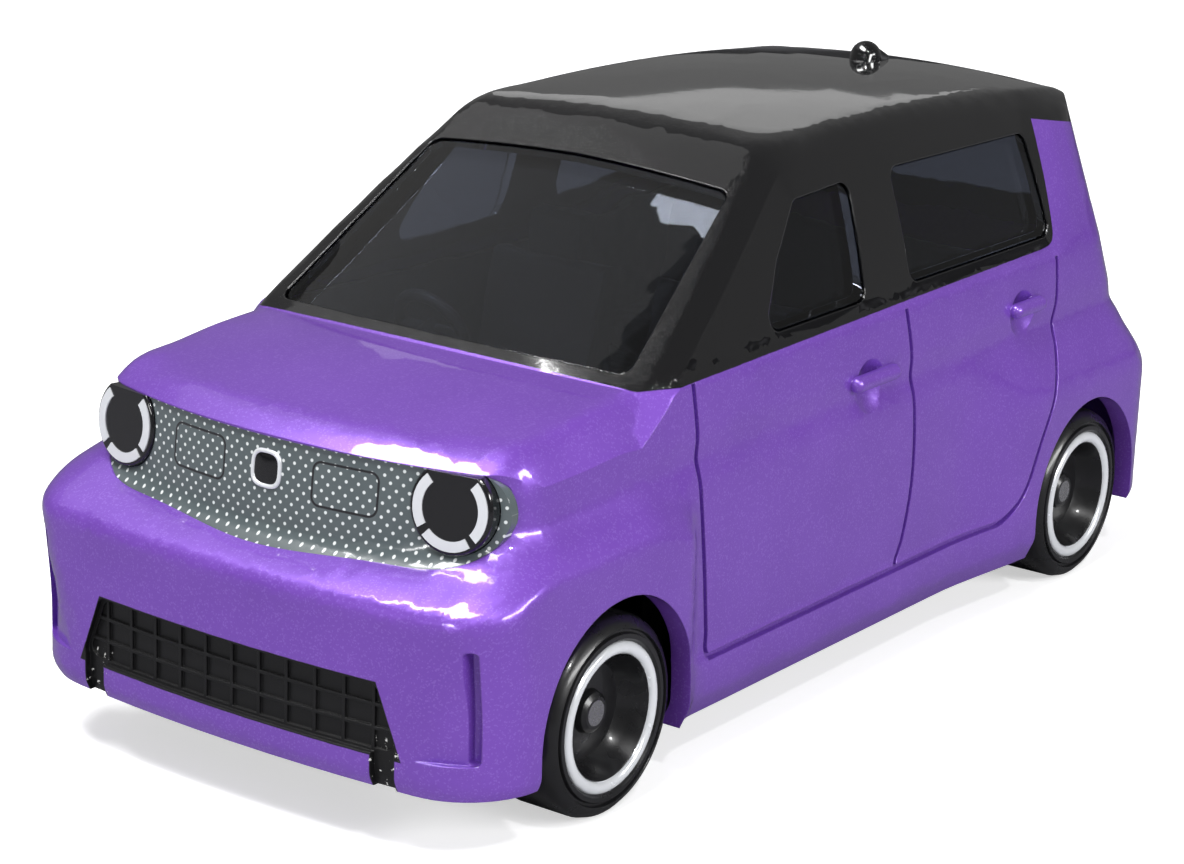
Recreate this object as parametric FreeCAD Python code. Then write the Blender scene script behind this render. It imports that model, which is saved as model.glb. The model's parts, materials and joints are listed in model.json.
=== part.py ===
"""A die-cast pocket toy of a small kei hatchback, about 64 mm long: a zinc body casting over a
clear window moulding, a seat moulding, a plastic base and two wheel sets on steel axle pins.

Frame: millimetres, origin on the floor below the middle of the car. +X is the car's left,
-Y is its front and +Z is up.
"""
import FreeCAD
import Part
import math
import os

V = FreeCAD.Vector
X_AXIS = V(1, 0, 0)
Y_AXIS = V(0, 1, 0)
Z_AXIS = V(0, 0, 1)
ORIGIN = V(0, 0, 0)

# Wheels and axles
AXLE_FRONT_Y = -22.1
AXLE_REAR_Y = 22.1
TYRE_RADIUS = 4.75
TYRE_WIDTH = 3.8
WHEEL_FACE_X = 13.65
AXLE_RADIUS = 0.6
AXLE_CLEARANCE = 0.05
RING_OUTER_RADIUS = 3.55
RING_INNER_RADIUS = 2.95
RING_THICKNESS = 0.4
DISH_DEPTH = 1.5
HUB_RADIUS = 0.95
ARCH_FRONT_RADIUS = 5.75
ARCH_REAR_RADIUS = 5.6

# Heights
CASTING_BOTTOM_Z = 2.45
NOSE_BOTTOM_Z = 3.15
TAIL_BOTTOM_Z = 3.25
SILL_TOP_Z = 5.3
BELT_Z = 18.75
BASE_UNDERSIDE_Z = 2.1
BASE_THICKNESS = 1.2
BASE_GAP = 0.15
NOTCH_GAP = 0.5

# Side of the body
DOOR_HALF_WIDTH = 13.1
DOOR_WIDEST_Z = 7.0
DOOR_CURVE = 0.0052
SILL_PROUD = 0.28
WAIST_GROOVE_Z = 15.0
WAIST_GROOVE_DEPTH = 0.2
WAIST_GROOVE_SPREAD = 0.75
FLARE_HALF_WIDTH = 13.95
FENDER_HALF_WIDTH = 12.25
FRONT_FLARE_CREST_Z = 12.3
FRONT_FLARE_TOP_Z = 14.7
REAR_FLARE_CREST_Z = 10.6
REAR_FLARE_TOP_Z = 15.4
REAR_FLARE_START_Y = 8.0
REAR_FLARE_FULL_Y = 17.5
DOOR_FRONT_Y = -14.7

# Nose and tail
BUMPER_FRONT_Y = -32.65
BUMPER_BOW = 0.0055
PANEL_FRONT_Y = -30.2
PANEL_BOW = 0.0150
SHELF_BOTTOM_Z = 11.2
SHELF_TOP_Z = 12.9
SHELF_TOP_RISE = 0.6
BONNET_LIP_Z = 16.95
BONNET_LIP = 0.1
BUMPER_REAR_Y = 31.6
HATCH_FOOT_Y = 29.5
HATCH_FOOT_Z = 14.4
HATCH_LEAN = 0.5
HATCH_CURVE = 0.02
REAR_BOW = 0.008
BUMPER_CORNER_RADIUS = 3.6
PANEL_CORNER_RADIUS = 2.1
REAR_CORNER_RADIUS = 2.8

# Bonnet
BONNET_NOSE_Z = 17.65
BONNET_COWL_Z = 18.95
BONNET_CROWN = 0.35
BONNET_SHOULDER_X = 10.8
NOSE_ROLL = 0.75
NOSE_ROLL_LENGTH = 1.7
BONNET_SHOULDER_DROP = 1.7
COWL_Y = -18.6

# Greenhouse
GLASS_HALF_WIDTH = 12.2
TUMBLEHOME = 0.22
TUMBLEHOME_CURVE = 0.0115
SCREEN_LEAN = 1.53
SCREEN_BOW = 0.013
PILLAR_RADIUS = 0.9
ROOF_CREST_Z = 27.92
ROOF_CREST_Y = 5.0
ROOF_FALL_FRONT = 0.0018
ROOF_FALL_REAR = 0.0030
ROOF_CROWN = 0.0056
HEADER_ROLL_Y = -4.0

# Casting walls, seams and recesses
WALL = 1.1
TUB_HALF_WIDTH = 11.2
GLASS_FOOT_Z = 18.0
SEAM_WIDTH = 0.3
SEAM_DEPTH = 0.32
PANEL_RECESS = 0.6
PANEL_SETBACK = 0.08
TAIL_LAMP_DEPTH = 0.45
TAIL_LAMP_PROUD = 0.12

# Window moulding
GLASS_SETBACK = 0.12
GLASS_EDGE_GAP = 0.08
GLASS_WALL = 0.6
FIT_GAP = 0.1

# Lamps
LAMP_X = 9.55
LAMP_Z = 15.35
LAMP_RADIUS = 2.08
LAMP_PROUD = 0.3
LAMP_DEPTH = 0.55
LAMP_TOE = 0.14
ARC_OUTER_RADIUS = 1.86
ARC_INNER_RADIUS = 1.4
ARC_PROUD = 0.06

# Antenna stub on the roof
ANTENNA_Y = 18.9
ANTENNA_RADIUS = 0.85
ANTENNA_HEIGHT = 1.1
ANTENNA_LEAN_DEG = 24.0

# Air slit at each bumper corner
SLIT_INNER_X = 10.2
SLIT_WALL_X = 12.3
SLIT_OUTER_X = 12.85
SLIT_SINK = 0.42
SLIT_DEPTH = 0.75
SLIT_BOTTOM_Z = 4.9
SLIT_TOP_Z = 10.2

# Rivets that hold the base
RIVET_FRONT_Y = -26.4
RIVET_REAR_Y = 26.2
RIVET_SHANK_RADIUS = 0.9
RIVET_HEAD_RADIUS = 1.7
RIVET_HEAD_THICKNESS = 0.5
POST_RADIUS = 1.7


def ramp(value, start, end):
    """Smooth step from 0 at start to 1 at end."""
    t = max(0.0, min(1.0, (value - start) / (end - start)))
    return t * t * (3 - 2 * t)


def mix(a, b, t):
    return a + (b - a) * t


def fuse_all(shapes):
    return shapes[0].multiFuse(shapes[1:]) if len(shapes) > 1 else shapes[0]


def mirrored(shape):
    return shape.mirror(ORIGIN, X_AXIS)


def box(low, high):
    return Part.makeBox(high[0] - low[0], high[1] - low[1], high[2] - low[2], V(*low))


# Body sides: a gently barrelled door with a waist groove, a sill and two wheel flares
def door_x(z):
    x = DOOR_HALF_WIDTH - DOOR_CURVE * (z - DOOR_WIDEST_Z) ** 2
    return x + SILL_PROUD * ramp(z, SILL_TOP_Z + 0.4, SILL_TOP_Z - 0.4)


def glass_x(y, z):
    """Half width above the belt: a small step in, then a curved tumblehome. No step at the tail."""
    rise = max(0.0, z - BELT_Z)
    flush = (door_x(BELT_Z) - GLASS_HALF_WIDTH) * ramp(y, 18.5, 21.5)
    return GLASS_HALF_WIDTH + flush - TUMBLEHOME * rise - TUMBLEHOME_CURVE * rise * rise


def side_x(y, z):
    return mix(lower_x(y, z), glass_x(y, z), ramp(z, BELT_Z - 0.15, BELT_Z + 0.15))


def lower_x(y, z):
    groove = WAIST_GROOVE_DEPTH * math.exp(-((z - WAIST_GROOVE_Z) / WAIST_GROOVE_SPREAD) ** 2)
    door = door_x(z) - groove
    fender = mix(min(FENDER_HALF_WIDTH, door), door, ramp(y, DOOR_FRONT_Y - 14, DOOR_FRONT_Y - 1))
    crest_drop = 0.9 * ramp(y, DOOR_FRONT_Y - 5, DOOR_FRONT_Y - 1)
    front_in = ramp(z, FRONT_FLARE_CREST_Z - crest_drop, FRONT_FLARE_TOP_Z - crest_drop)
    front = mix(FLARE_HALF_WIDTH, fender, front_in)
    rear_in = ramp(z, REAR_FLARE_CREST_Z, REAR_FLARE_TOP_Z)
    rear = mix(FLARE_HALF_WIDTH, door, rear_in)
    x = mix(front, door, ramp(y, DOOR_FRONT_Y - 2.2, DOOR_FRONT_Y - 0.2))
    x = mix(x, rear, ramp(y, REAR_FLARE_START_Y, REAR_FLARE_FULL_Y))
    return x - 0.55 * ramp(z, CASTING_BOTTOM_Z + 1.3, CASTING_BOTTOM_Z - 0.3)


# Nose: bumper below, a shelf, the lamp panel set back and the bonnet's lip above it
def front_y(x, z):
    bumper = BUMPER_FRONT_Y + BUMPER_BOW * x * x
    bumper += 0.9 * ramp(z, CASTING_BOTTOM_Z + 1.5, CASTING_BOTTOM_Z - 0.6)
    panel = PANEL_FRONT_Y + PANEL_BOW * x * x + 0.1 * (z - LAMP_Z)
    shelf_top = SHELF_TOP_Z + SHELF_TOP_RISE * (x / LAMP_X) ** 2
    y = mix(bumper, panel, ramp(z, SHELF_BOTTOM_Z, shelf_top))
    return y - BONNET_LIP * ramp(z, BONNET_LIP_Z - 0.2, BONNET_LIP_Z + 0.1)


def rear_y(x, z):
    bumper = BUMPER_REAR_Y - 0.7 * ramp(z, CASTING_BOTTOM_Z + 1.5, CASTING_BOTTOM_Z - 0.6)
    rise = max(0.0, z - HATCH_FOOT_Z)
    hatch = HATCH_FOOT_Y - HATCH_LEAN * rise + HATCH_CURVE * rise * rise
    return mix(bumper, hatch, ramp(z, 10.8, HATCH_FOOT_Z + 0.4)) - REAR_BOW * x * x


def corner_radius(z):
    """The nose's plan corner, tighter beside the lamps than at the bumper."""
    return mix(BUMPER_CORNER_RADIUS, PANEL_CORNER_RADIUS, ramp(z, 6.0, 14.5))


def spread(start, end, count):
    return [start + (end - start) * i / count for i in range(count)]


def half_outline(z, front, side, rear, front_radius, rear_radius, side_stations):
    """Half of a plan outline at height z, from the front centre round the left side to the rear."""
    points = []
    corner_y = front(side(front(0, z), z), z) + front_radius
    corner_x = side(corner_y, z) - front_radius
    for x in spread(0.0, corner_x, 9):
        points.append(V(x, front(x, z), z))
    for i in range(8):
        angle = math.pi / 2 * i / 8
        back = front_radius * (1 - math.cos(angle))
        inward = front_radius * (1 - math.sin(angle))
        x = corner_x + front_radius * math.sin(angle)
        y = front(x, z) + back
        points.append(V(side(y, z) - inward, y, z))
    start_y = front(corner_x + front_radius, z) + front_radius
    end_x = side(rear(0, z), z)
    end_y = rear(end_x, z) - rear_radius
    knots = [start_y] + side_stations + [end_y]
    for low, high in zip(knots[:-1], knots[1:]):
        for y in spread(low, high, 6):
            points.append(V(side(y, z), y, z))
    for i in range(8):
        angle = math.pi / 2 * i / 8
        inward = rear_radius * (1 - math.cos(angle))
        x = side(end_y, z) - inward
        y = rear(x, z) - rear_radius * (1 - math.sin(angle))
        points.append(V(x, y, z))
    last_x = side(end_y, z) - rear_radius
    for x in spread(last_x, 0.0, 7):
        points.append(V(x, rear(x, z), z))
    points.append(V(0, rear(0, z), z))
    return points


def chord_steps(grid):
    """Parameters from 0 to 1 along the rows of a grid, by the mean distance between its columns."""
    total = [0.0]
    for j in range(1, len(grid[0])):
        total.append(total[-1] + sum((row[j] - row[j - 1]).Length for row in grid) / len(grid))
    return [t / total[-1] for t in total]


def through(points, steps):
    curve = Part.BSplineCurve()
    curve.interpolate(Points=points, Parameters=steps)
    return curve


def spline_surface(grid):
    """A bicubic surface through a grid of points, keeping flat rows flat."""
    across = chord_steps(grid)
    along = chord_steps([list(column) for column in zip(*grid)])
    rows = [through(row, across) for row in grid]
    row_poles = [row.getPoles() for row in rows]
    columns = [through(list(column), along) for column in zip(*row_poles)]
    poles = [list(p) for p in zip(*[column.getPoles() for column in columns])]
    surface = Part.BSplineSurface()
    surface.buildFromPolesMultsKnots(poles, columns[0].getMultiplicities(), rows[0].getMultiplicities(),
                                     columns[0].getKnots(), rows[0].getKnots(), False, False, 3, 3)
    return surface


def skin_solid(rows):
    """A closed solid from rows of half outlines: one spline skin round the car and flat ends."""
    surface = spline_surface([[V(-p.x, p.y, p.z) for p in reversed(row[1:])] + row for row in rows])
    faces = [surface.toShape()]
    for end in surface.bounds()[:2]:
        faces.append(Part.Face(Part.Wire(surface.uIso(end).toShape())))
    shell = Part.makeShell(faces)
    shell.sewShape()
    solid = Part.makeSolid(shell)
    if solid.Volume < 0:
        solid.reverse()
    return solid


# The whole skin is a stack of plan outlines. Tops are cut off it by two height fields.
LEVELS = [CASTING_BOTTOM_Z, 3.0, 3.7, 4.3, 4.8, 5.2, 5.6, 6.2, 7.4, 9.0, 10.4, 11.2, 11.6, 12.0, 12.4, 12.8, 13.2,
          13.7, 14.3, 15.0, 15.7, 16.3, 16.75, 17.05, 17.4, 18.1, 18.5, 18.7, 18.9, 19.2, 20.0, 21.5,
          23.0, 24.5, 26.0, 27.2, 28.6]


def skin(inset, floor=None):
    """Everything inside the body's sides, nose and tail, each moved inwards by inset."""
    def side(y, z):
        return side_x(y, z) - inset

    def front(x, z):
        return front_y(x, z) + inset

    def rear(x, z):
        return rear_y(x, z) - inset

    stations = [DOOR_FRONT_Y - 3.2, DOOR_FRONT_Y + 0.6, REAR_FLARE_START_Y - 1, REAR_FLARE_FULL_Y, 21.5]
    rows = []
    for z in LEVELS:
        radius = corner_radius(z)
        rows.append(half_outline(z, front, side, rear, max(0.3, radius - inset),
                                 max(0.3, REAR_CORNER_RADIUS - inset), stations))
    if floor is not None:
        rows.insert(0, [V(p.x, p.y, floor) for p in rows[0]])
    return skin_solid(rows)


def bonnet_z(x, y):
    """Bonnet top: a crowned sheet that rolls down at its shoulders and dives under the screen."""
    length = math.sin(math.pi / 2 * max(0.0, min(1.0, (y + 29.8) / 13)))
    top = mix(BONNET_NOSE_Z, BONNET_COWL_Z, length)
    ahead = max(0.0, 1 - (y - PANEL_FRONT_Y - PANEL_BOW * x * x) / NOSE_ROLL_LENGTH)
    top -= NOSE_ROLL * ahead ** 2 / math.sqrt(1 + (ahead / 1.5) ** 4)
    top -= BONNET_CROWN * (x / BONNET_SHOULDER_X) ** 2
    over = max(0.0, abs(x) - BONNET_SHOULDER_X) / 1.5
    drop = BONNET_SHOULDER_DROP * min(1.0, over) ** 2 + 0.6 * max(0.0, over - 1)
    top -= drop * ramp(y, COWL_Y + 2.4, COWL_Y - 0.2)
    return top - 0.9 * max(0.0, y - DOOR_FRONT_Y)


def roof_line(y):
    """The roof's height on the middle line. It rolls down to the header no faster than the screen."""
    run = y - ROOF_CREST_Y
    z = ROOF_CREST_Z - (ROOF_FALL_FRONT if run < 0 else ROOF_FALL_REAR) * run * run
    roll = max(0.0, HEADER_ROLL_Y - y)
    z -= 0.14 * min(roll, 1.8) ** 2 + 0.5 * max(0.0, roll - 1.8)
    return z - 0.3 * max(0.0, y - 24.3) ** 2


def top_z(x, y):
    """Windscreen and roof: the lower of the two with a soft header between, rolled at the sides."""
    screen = BONNET_COWL_Z + (y - COWL_Y - SCREEN_BOW * x * x) / SCREEN_LEAN
    roof = roof_line(y) - ROOF_CROWN * x * x
    blend = max(0.0, 0.7 - abs(screen - roof)) / 0.7
    top = min(screen, roof) - 0.12 * blend * blend
    edge = glass_x(y, min(top, 27.0)) - PILLAR_RADIUS
    over = max(0.0, abs(x) - edge)
    return top - min(0.5 * over * over, 0.5 * PILLAR_RADIUS ** 2 + 0.8 * (over - PILLAR_RADIUS))


def sheet_above(height, xs, ys, thickness):
    """The space above a height field, as a solid to cut with."""
    surface = spline_surface([[V(x, y, height(x, y)) for y in ys] for x in xs])
    return surface.toShape().extrude(V(0, 0, thickness))


def symmetric(values):
    return [-v for v in reversed(values) if v > 0] + values


def above_body(inset):
    """What lies above the bonnet and also above the screen and roof, both lowered by inset."""
    xs = symmetric([0.0, 3.0, 6.0, 8.5, 9.8, 10.6, 11.2, 11.8, 12.4, 13.2, 15.0])
    ys = [-35.0, -32.0, -30.6, -29.6, -28.6, -27.0, -24.5, -22.0, -20.0, -18.8, -17.6, -16.4, -15.4,
          -14.6, -13.6, -10.0, 0.0, 16.0, 35.0]
    bonnet = sheet_above(lambda x, y: bonnet_z(x, y) - inset, xs, ys, 70)
    xs = symmetric([0.0, 3.0, 6.0, 7.4, 8.3, 8.9, 9.5, 10.1, 10.7, 11.3, 11.9, 12.6, 15.0])
    ys = [-35.0, -26.0, -20.0, -18.0, -16.0, -14.0, -12.0, -10.5, -9.4, -8.6, -8.0, -7.4, -6.8, -6.0,
          -5.0, -3.5, -1.0, 2.0, 6.0, 10.0, 14.0, 18.0, 22.0, 24.0, 25.0, 26.0, 27.0, 29.0, 32.0, 35.0]
    steep = inset * math.sqrt(1 + 1 / SCREEN_LEAN ** 2)
    roof = sheet_above(lambda x, y: top_z(x, y) - mix(steep, inset, ramp(y, -9, -5)), xs, ys, 70)
    return bonnet.common(roof)


def body(inset, floor=None):
    return skin(inset, floor).cut(above_body(inset))


def beyond_side(depth):
    """The space outside a surface depth below the left side of the body, between the axles."""
    ys = spread(-19.0, 25.0, 22) + [25.0]
    zs = [3.0, 4.2, 5.0, 5.6, 6.4, 8.0, 10.0, 12.0, 13.4, 14.2, 15.0, 15.8, 16.6, 17.8, 18.6]
    surface = spline_surface([[V(lower_x(y, z) - depth, y, z) for y in ys] for z in zs])
    return surface.toShape().extrude(V(8, 0, 0))


def beyond_front(depth, low, high):
    """The space ahead of a surface depth behind the nose, between two heights."""
    xs = spread(-13.4, 13.4, 12) + [13.4]
    zs = spread(low, high, 8) + [high]
    surface = spline_surface([[V(x, front_y(x, z) + depth, z) for x in xs] for z in zs])
    return surface.toShape().extrude(V(0, -6, 0))


def beyond_rear(depth):
    xs = spread(-11.8, 11.8, 8) + [11.8]
    zs = spread(9.0, 18.6, 8) + [18.6]
    surface = spline_surface([[V(x, rear_y(x, z) - depth, z) for x in xs] for z in zs])
    return surface.toShape().extrude(V(0, 5, 0))


def rounded_face(points, radius, place):
    """A flat face with rounded corners. place turns a pair of numbers into a point."""
    corners = [place(*p) for p in points]
    edges = []
    ends = []
    for i, corner in enumerate(corners):
        before = (corners[i - 1] - corner).normalize()
        after = (corners[(i + 1) % len(corners)] - corner).normalize()
        half = before.getAngle(after) / 2
        back = radius / math.tan(half)
        start = corner + before * back
        end = corner + after * back
        bisector = (before + after).normalize()
        middle = corner + bisector * (radius / math.sin(half) - radius)
        edges.append(Part.Arc(start, middle, end).toShape())
        ends.append((start, end))
    lines = [Part.makeLine(ends[i][1], ends[(i + 1) % len(ends)][0]) for i in range(len(ends))]
    ordered = [e for pair in zip(edges, lines) for e in pair]
    return Part.Face(Part.Wire(ordered))


def grown(points, amount):
    """A convex polygon moved outwards by amount on every side."""
    moved = []
    count = len(points)
    for i in range(count):
        (ax, ay), (bx, by), (cx, cy) = points[i - 1], points[i], points[(i + 1) % count]
        n1 = V(by - ay, ax - bx, 0).normalize()
        n2 = V(cy - by, bx - cx, 0).normalize()
        mid = (n1 + n2).normalize()
        step = amount / mid.dot(n1)
        moved.append((bx + mid.x * step, by + mid.y * step))
    return moved


# Window openings, counter-clockwise in their own view
FRONT_WINDOW = [(-8.7, 19.5), (0.4, 19.55), (0.8, 25.3), (-4.2, 25.1), (-6.7, 22.65)]
REAR_WINDOW = [(4.7, 19.65), (19.3, 19.7), (18.5, 25.2), (4.7, 25.35)]
WINDSCREEN = [(-10.45, 0.95), (-5.0, 0.42), (0.0, 0.28), (5.0, 0.42), (10.45, 0.95), (8.95, 13.0), (0.0, 13.2), (-8.95, 13.0)]
BACKLIGHT = [(-9.4, 19.8), (9.4, 19.8), (8.3, 24.9), (-8.3, 24.9)]
WINDOW_CORNER = 0.7


def window_prisms(shrink):
    """Straight cutters for the four kinds of window, each a little smaller by shrink."""
    def in_side(y, z):
        return V(-20, y, z)

    slope = V(0, SCREEN_LEAN, 1).normalize()
    outward = V(0, -1, SCREEN_LEAN).normalize()

    def in_front(x, along):
        return V(x, COWL_Y, BONNET_COWL_Z) + slope * along + outward * 0.8

    def in_rear(x, z):
        return V(x, 20, z)

    sides = [rounded_face(grown(w, -shrink), WINDOW_CORNER, in_side).extrude(V(40, 0, 0))
             for w in (FRONT_WINDOW, REAR_WINDOW)]
    front = rounded_face(grown(WINDSCREEN, -shrink), WINDOW_CORNER, in_front).extrude(outward * -5.0)
    rear = rounded_face(grown(BACKLIGHT, -shrink), WINDOW_CORNER, in_rear).extrude(V(0, 12, 0))
    return sides + [front, rear]


def ribbon(points, width, place, direction):
    """A straight-sided groove cutter of that width along a curve through points."""
    curve = Part.BSplineCurve()
    curve.interpolate([place(*p) for p in points])
    normal = direction.normalize()
    first, last = curve.FirstParameter, curve.LastParameter
    count = 24
    sides = ([], [])
    for i in range(count + 1):
        t = first + (last - first) * i / count
        point = curve.value(t)
        across = curve.tangent(t)[0].cross(normal).normalize() * (width / 2)
        sides[0].append(point + across)
        sides[1].append(point - across)
    edges = []
    for side in sides:
        spline = Part.BSplineCurve()
        spline.interpolate(side)
        edges.append(spline.toShape())
    ends = [Part.makeLine(sides[0][k], sides[1][k]) for k in (0, -1)]
    wire = Part.Wire(Part.__sortEdges__(edges + ends))
    return Part.Face(wire)


DOOR_FRONT_SEAM = [(-15.2, 19.2), (-14.95, 16.5), (-14.75, 13.0), (-14.4, 9.0), (-14.1, 5.3)]
DOOR_MIDDLE_SEAM = [(3.6, 19.2), (4.1, 16.5), (4.35, 13.0), (4.2, 9.5), (3.6, 7.0), (2.8, 5.3)]
DOOR_REAR_SEAM = [(19.4, 19.2), (19.3, 16.0), (18.0, 12.0), (16.2, 8.6), (15.0, 6.4), (13.6, 5.5), (12.2, 5.3)]
SILL_SEAM = [(-14.1, 5.3), (-6.0, 5.3), (4.0, 5.3), (12.3, 5.3)]
HATCH_SEAM = [(-10.9, 18.4), (-10.95, 14.5), (-10.6, 11.3), (-9.0, 10.2), (0.0, 10.0),
              (9.0, 10.2), (10.6, 11.3), (10.95, 14.5), (10.9, 18.4)]


def seams():
    """The door, sill and hatch lines engraved in the casting."""
    def in_side(y, z):
        return V(10, y, z)

    def in_rear(x, z):
        return V(x, 20, z)

    outside = beyond_side(SEAM_DEPTH)
    strips = []
    for line in (DOOR_FRONT_SEAM, DOOR_MIDDLE_SEAM, DOOR_REAR_SEAM, SILL_SEAM):
        strip = ribbon(line, SEAM_WIDTH, in_side, V(1, 0, 0)).extrude(V(8, 0, 0)).common(outside)
        strips += [strip, mirrored(strip)]
    hatch = ribbon(HATCH_SEAM, SEAM_WIDTH, in_rear, V(0, 1, 0)).extrude(V(0, 14, 0))
    return strips + [hatch.common(beyond_rear(SEAM_DEPTH))]


# Lamp panel between the lamps, a rounded band in the front view
PANEL_TOP_Z = 16.92
PANEL_END_X = 12.0
PANEL_FOOT = [(-PANEL_END_X, 14.9), (-11.1, 13.5), (-7.0, 12.6), (0.0, 12.25), (7.0, 12.6), (11.1, 13.5),
              (PANEL_END_X, 14.9)]


def panel_prism():
    curve = Part.BSplineCurve()
    lower = [V(x, -34, z) for x, z in PANEL_FOOT]
    curve.interpolate(lower)
    end_left = Part.Arc(V(PANEL_END_X, -34, 14.9), V(PANEL_END_X - 0.35, -34, 16.25), V(10.7, -34, PANEL_TOP_Z)).toShape()
    top = Part.makeLine(V(10.7, -34, PANEL_TOP_Z), V(-10.7, -34, PANEL_TOP_Z))
    end_right = Part.Arc(V(-10.7, -34, PANEL_TOP_Z), V(0.35 - PANEL_END_X, -34, 16.25), V(-PANEL_END_X, -34, 14.9)).toShape()
    wire = Part.Wire([curve.toShape(), end_left, top, end_right])
    return Part.Face(wire).extrude(V(0, 7.4, 0))


# Lamps: a black disc on the panel at each end, with three silver arcs on it
def lamp_axis():
    return V(LAMP_TOE, -1, 0.1).normalize()


def lamp_seat():
    return V(LAMP_X, front_y(LAMP_X, LAMP_Z), LAMP_Z)


def headlamp():
    axis = lamp_axis()
    start = lamp_seat() - axis * (LAMP_DEPTH - FIT_GAP / 2)
    disc = Part.makeCylinder(LAMP_RADIUS - 0.03, LAMP_DEPTH - FIT_GAP / 2 + LAMP_PROUD, start, axis)
    rim = [e for e in disc.Edges if e.Curve.TypeId == "Part::GeomCircle"
           and (e.Curve.Center - start).Length > LAMP_DEPTH / 2]
    return disc.makeFillet(0.15, rim).cut(under_lip())


def lamp_pocket():
    axis = lamp_axis()
    return Part.makeCylinder(LAMP_RADIUS, 3.0, lamp_seat() - axis * LAMP_DEPTH, axis).cut(under_lip())


def under_lip():
    """The space the bonnet's lip takes over the lamp."""
    return box((0, -36, PANEL_TOP_Z), (16, -24, 20))


def lamp_arcs():
    """Three arcs at the sides and the foot of the disc."""
    axis = lamp_axis()
    right = Z_AXIS.cross(axis).normalize()
    up = axis.cross(right)
    centre = lamp_seat() + axis * LAMP_PROUD

    def at(radius, degrees):
        angle = math.radians(degrees)
        return centre + right * (radius * math.cos(angle)) + up * (radius * math.sin(angle))

    arcs = []
    for start, end in ((-42, 48), (132, 214), (226, 306)):
        middle = (start + end) / 2
        edges = [Part.Arc(at(ARC_OUTER_RADIUS, start), at(ARC_OUTER_RADIUS, middle),
                          at(ARC_OUTER_RADIUS, end)).toShape(),
                 Part.makeLine(at(ARC_OUTER_RADIUS, end), at(ARC_INNER_RADIUS, end)),
                 Part.Arc(at(ARC_INNER_RADIUS, end), at(ARC_INNER_RADIUS, middle),
                          at(ARC_INNER_RADIUS, start)).toShape(),
                 Part.makeLine(at(ARC_INNER_RADIUS, start), at(ARC_OUTER_RADIUS, start))]
        arcs.append(Part.Face(Part.Wire(edges)).extrude(axis * ARC_PROUD))
    return Part.makeCompound(arcs)


# Lower grille: a black lattice in the bumper, with a foot at each end that crosses the lip
GRILLE_TOP_Z = 8.0
GRILLE_BOTTOM_Z = 4.75
GRILLE_TOP_HALF = 8.2
GRILLE_BOTTOM_HALF = 9.5
GRILLE_BAR_DEPTH = 0.28
GRILLE_DEPTH = 0.42
GRILLE_COLUMNS = 12
GRILLE_ROWS = 3
GRILLE_BAR = 0.16
FOOT_X = 8.6
FOOT_WIDTH = 1.2
FOOT_DEPTH = 0.3


def grille_prism(shrink):
    face = rounded_face(grown([(-GRILLE_BOTTOM_HALF, GRILLE_BOTTOM_Z), (GRILLE_BOTTOM_HALF, GRILLE_BOTTOM_Z),
                               (GRILLE_TOP_HALF, GRILLE_TOP_Z), (-GRILLE_TOP_HALF, GRILLE_TOP_Z)], -shrink),
                        0.5, lambda x, z: V(x, -36, z))
    return face.extrude(V(0, 9, 0))


def grille_cutters():
    """A shallow recess, deeper cells between its bars, and a groove down to the lip at each end."""
    bars = []
    pitch_x = 2 * GRILLE_BOTTOM_HALF / GRILLE_COLUMNS
    pitch_z = (GRILLE_TOP_Z - GRILLE_BOTTOM_Z) / GRILLE_ROWS
    for i in range(1, GRILLE_COLUMNS):
        x = -GRILLE_BOTTOM_HALF + pitch_x * i
        bars.append(box((x - GRILLE_BAR / 2, -37, 0), (x + GRILLE_BAR / 2, -26, 10)))
    for j in range(1, GRILLE_ROWS):
        z = GRILLE_BOTTOM_Z + pitch_z * j
        bars.append(box((-12, -37, z - GRILLE_BAR / 2), (12, -26, z + GRILLE_BAR / 2)))
    cells = grille_prism(GRILLE_BAR).cut(bars)
    bars_front = beyond_front(GRILLE_BAR_DEPTH, 1.5, 9.0)
    cutters = [grille_prism(0.0).common(bars_front), cells.common(beyond_front(GRILLE_DEPTH, 1.5, 9.0))]
    feet = []
    for sign in (1, -1):
        x = sign * FOOT_X
        feet.append(box((x - FOOT_WIDTH / 2, -36, 2), (x + FOOT_WIDTH / 2, -27, GRILLE_BOTTOM_Z + 0.3)))
    return cutters + [Part.makeCompound(feet).common(beyond_front(FOOT_DEPTH, 1.5, 9.0))]


def wheel_profile_face(points):
    wire = Part.makePolygon([V(x, r, 0) for x, r in points + points[:1]])
    return Part.Face(wire)


def revolve_x(face, y, z):
    solid = face.revolve(ORIGIN, X_AXIS, 360)
    return solid.translated(V(0, y, z))


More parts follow.
